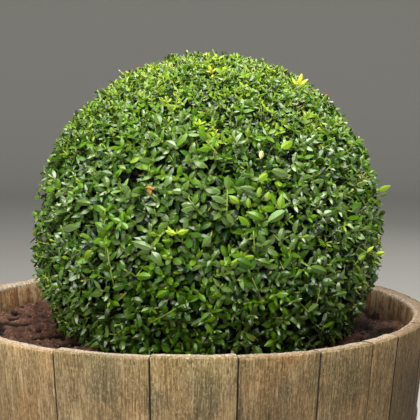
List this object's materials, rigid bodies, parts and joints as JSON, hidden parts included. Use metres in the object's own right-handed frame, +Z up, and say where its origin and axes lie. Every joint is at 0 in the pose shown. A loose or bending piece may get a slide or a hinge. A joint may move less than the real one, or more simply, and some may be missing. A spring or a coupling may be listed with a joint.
{
  "type": "box topiary ball in a stave tub",
  "caption": "Dense clipped ball of small-leaved box on a short stem, growing in dark soil in a round tapered tub of oak staves with steel hoops.",
  "frame": {"origin": "on the tub's axis, on the ground under the feet of the staves", "axes": "+Z up, -Y towards the front of the tub, +X to the right seen from the front"},
  "size_m": [0.6595, 0.66, 0.7715],
  "materials": {
    "stave_wood": "matte",
    "head_wood": "matte",
    "hoop_steel": "matte",
    "soil": "matte",
    "bark": "matte",
    "leaves": "satin"
  },
  "bodies": {
    "root": {"stave_01": "stave_wood", "stave_02": "stave_wood", "stave_03": "stave_wood", "stave_04": "stave_wood", "stave_05": "stave_wood", "stave_06": "stave_wood", "stave_07": "stave_wood", "stave_08": "stave_wood", "stave_09": "stave_wood", "stave_10": "stave_wood", "stave_11": "stave_wood", "stave_12": "stave_wood", "stave_13": "stave_wood", "stave_14": "stave_wood", "stave_15": "stave_wood", "stave_16": "stave_wood", "stave_17": "stave_wood", "stave_18": "stave_wood", "stave_19": "stave_wood", "stave_20": "stave_wood", "stave_21": "stave_wood", "head_board_1": "head_wood", "head_board_2": "head_wood", "head_board_3": "head_wood", "head_board_4": "head_wood", "head_board_5": "head_wood", "hoop_lower": "hoop_steel", "hoop_upper": "hoop_steel", "soil": "soil", "stem": "bark", "foliage_ball": "leaves"}
  },
  "joints": []
}
